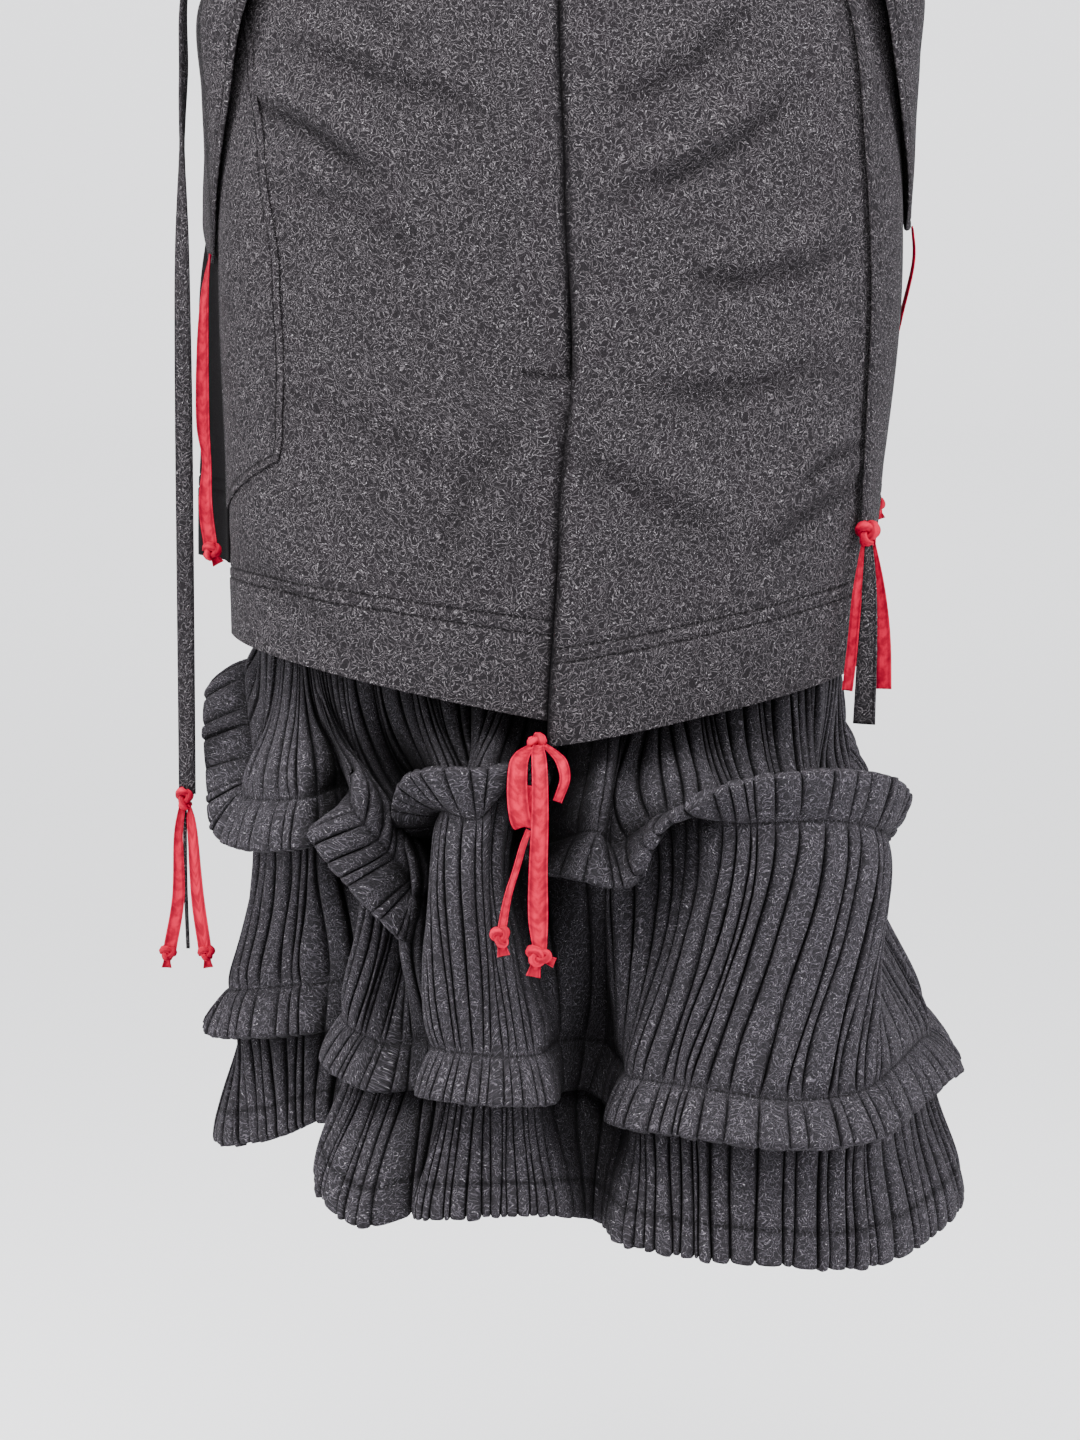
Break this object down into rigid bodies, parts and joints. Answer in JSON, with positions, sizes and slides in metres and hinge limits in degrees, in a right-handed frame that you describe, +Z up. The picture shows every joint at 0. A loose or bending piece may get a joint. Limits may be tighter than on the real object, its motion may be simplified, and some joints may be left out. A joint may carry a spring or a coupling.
{
  "type": "pleated ruffle skirt",
  "caption": "Tiered pleated skirt with wide stitched tucks under a plain patterned overskirt with a front vent, hanging flaps and ribbon-tied straps.",
  "frame": {"origin": "middle of the waist opening, level with the top of the waistband", "axes": "+Z up along the body, -Y the front of the skirt, +X the wearer's left as the front is looked at, to the right"},
  "size_m": [0.4496, 0.3534, 0.7849],
  "materials": {
    "charcoal_cloth": "matt patterned woven cotton, charcoal",
    "pleated_cloth": "matt patterned cotton in narrow set pleats, dark charcoal",
    "coral_ribbon": "matt cotton ribbon with stitched edges, coral red"
  },
  "bodies": {
    "root": {"waistband": "charcoal_cloth", "yoke_front": "pleated_cloth", "yoke_back": "pleated_cloth", "over_front_left": "charcoal_cloth", "over_front_right": "charcoal_cloth", "over_back": "charcoal_cloth", "pocket_left": "charcoal_cloth", "side_flap_left": "charcoal_cloth", "side_flap_right": "charcoal_cloth", "upper_tier_front": "pleated_cloth", "upper_tier_back": "pleated_cloth", "middle_tier_front": "pleated_cloth", "middle_tier_back": "pleated_cloth", "lower_tier_front": "pleated_cloth", "lower_tier_back": "pleated_cloth", "strap_left": "charcoal_cloth", "strap_left_cord": "charcoal_cloth", "strap_left_ribbon_outer": "coral_ribbon", "strap_left_ribbon_inner": "coral_ribbon", "strap_right": "charcoal_cloth", "strap_right_tail": "charcoal_cloth", "strap_right_ribbon_front": "coral_ribbon", "strap_right_ribbon_side": "coral_ribbon", "flap_ribbon_left": "coral_ribbon", "flap_ribbon_right": "coral_ribbon", "front_ribbon_loop": "coral_ribbon", "front_ribbon_bow": "coral_ribbon", "front_ribbon_tail": "coral_ribbon", "front_ribbon_thin_tail": "coral_ribbon", "strap_left_knot": "coral_ribbon", "strap_left_ribbon_outer_end": "coral_ribbon", "strap_left_ribbon_inner_end": "coral_ribbon", "strap_right_knot": "coral_ribbon", "flap_ribbon_left_knot": "coral_ribbon", "flap_ribbon_right_knot": "coral_ribbon", "front_knot": "coral_ribbon", "front_ribbon_tail_end": "coral_ribbon", "front_ribbon_thin_tail_end": "coral_ribbon"}
  },
  "joints": []
}
